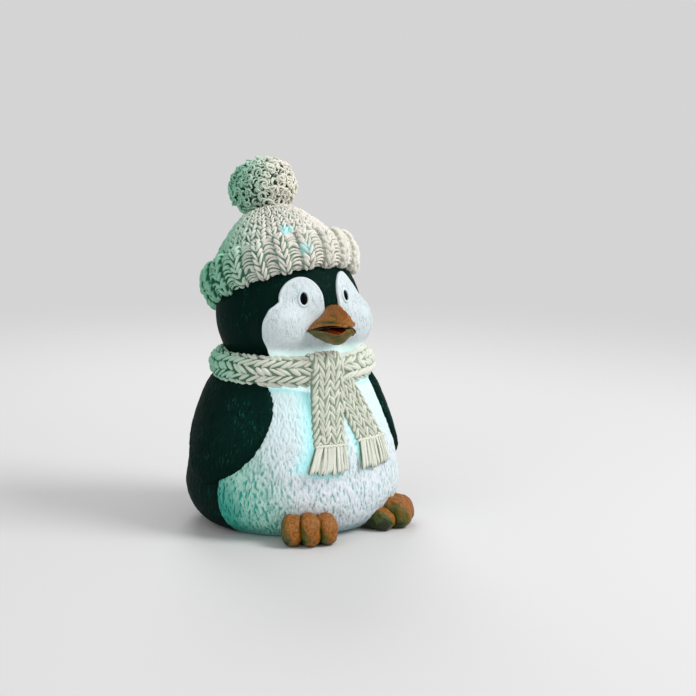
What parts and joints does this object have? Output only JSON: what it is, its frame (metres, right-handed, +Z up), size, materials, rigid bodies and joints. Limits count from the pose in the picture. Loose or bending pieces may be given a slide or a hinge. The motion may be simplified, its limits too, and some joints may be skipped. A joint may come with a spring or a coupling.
{
  "type": "penguin figurine",
  "caption": "Lit cast-resin penguin figurine in a knitted hat and scarf, standing on its feet and a battery base with a sliding door and switch.",
  "frame": {"origin": "centre of the bounding box at floor level, under the body", "axes": "+Z up along the height, the penguin looks along -Y, its left hand is +X"},
  "size_m": [0.1106, 0.1151, 0.1807],
  "materials": {
    "white_resin": "satin, translucent white cast resin with fine brushed fur strokes",
    "black_resin": "satin black-green paint over cast resin",
    "knit_resin": "matte cream paint over modelled knitting, green wash in the grooves",
    "yarn_resin": "matte cream paint over modelled curly yarn",
    "orange_resin": "satin ochre paint with a dark wash in the grooves",
    "mouth_paint": "glossy red-orange paint",
    "eye_paint": "glossy black paint",
    "base_plastic": "fine spark-eroded moulded plastic",
    "knob_plastic": "smooth moulded plastic",
    "pad_rubber": "soft foam rubber",
    "screw_steel": "zinc plated",
    "contact_steel": "nickel plated spring sheet",
    "cell_jacket": "plain printed jacket, no lettering",
    "post_plastic": "milky moulded plastic",
    "board_laminate": "green solder mask",
    "chip_plastic": "black moulding compound",
    "lamp_epoxy": "clear epoxy dome, cyan light",
    "red_sleeve": "smooth insulation",
    "black_sleeve": "smooth insulation"
  },
  "bodies": {
    "figurine": {"front_shell": "white_resin", "back_shell": "black_resin", "left_wing": "black_resin", "right_wing": "black_resin", "head_shell": "black_resin", "face_panel": "white_resin", "eye_rims": "white_resin", "left_eye": "eye_paint", "right_eye": "eye_paint", "upper_beak": "orange_resin", "lower_beak": "orange_resin", "tongue": "mouth_paint", "hat_crown": "knit_resin", "hat_cuff": "knit_resin", "pompom": "yarn_resin", "scarf_wrap": "knit_resin", "scarf_front_tail": "knit_resin", "scarf_front_fringe": "knit_resin", "scarf_side_tail": "knit_resin", "scarf_side_fringe": "knit_resin", "left_foot": "orange_resin", "right_foot": "orange_resin", "base_plate": "base_plastic", "anti_slip_pads": "pad_rubber", "base_screws": "screw_steel", "battery_1": "cell_jacket", "battery_2": "cell_jacket", "battery_3": "cell_jacket", "battery_contacts_left": "contact_steel", "battery_contacts_right": "contact_steel", "switch_housing": "base_plastic", "lamp_post": "post_plastic", "circuit_board": "board_laminate", "board_screws": "screw_steel", "controller_chip": "chip_plastic", "led_lamps": "lamp_epoxy", "red_lead": "red_sleeve", "black_lead": "black_sleeve"},
    "battery_door": {"battery_door": "base_plastic"},
    "switch_knob": {"switch_knob": "knob_plastic"}
  },
  "joints": [
    {"name": "door_slide", "type": "slide", "parent": "figurine", "child": "battery_door", "axis": [1, 0, 0], "range_m": [0, 0.005]},
    {"name": "switch_slide", "type": "slide", "parent": "figurine", "child": "switch_knob", "axis": [1, 0, 0], "range_m": [0, 0.003]}
  ]
}
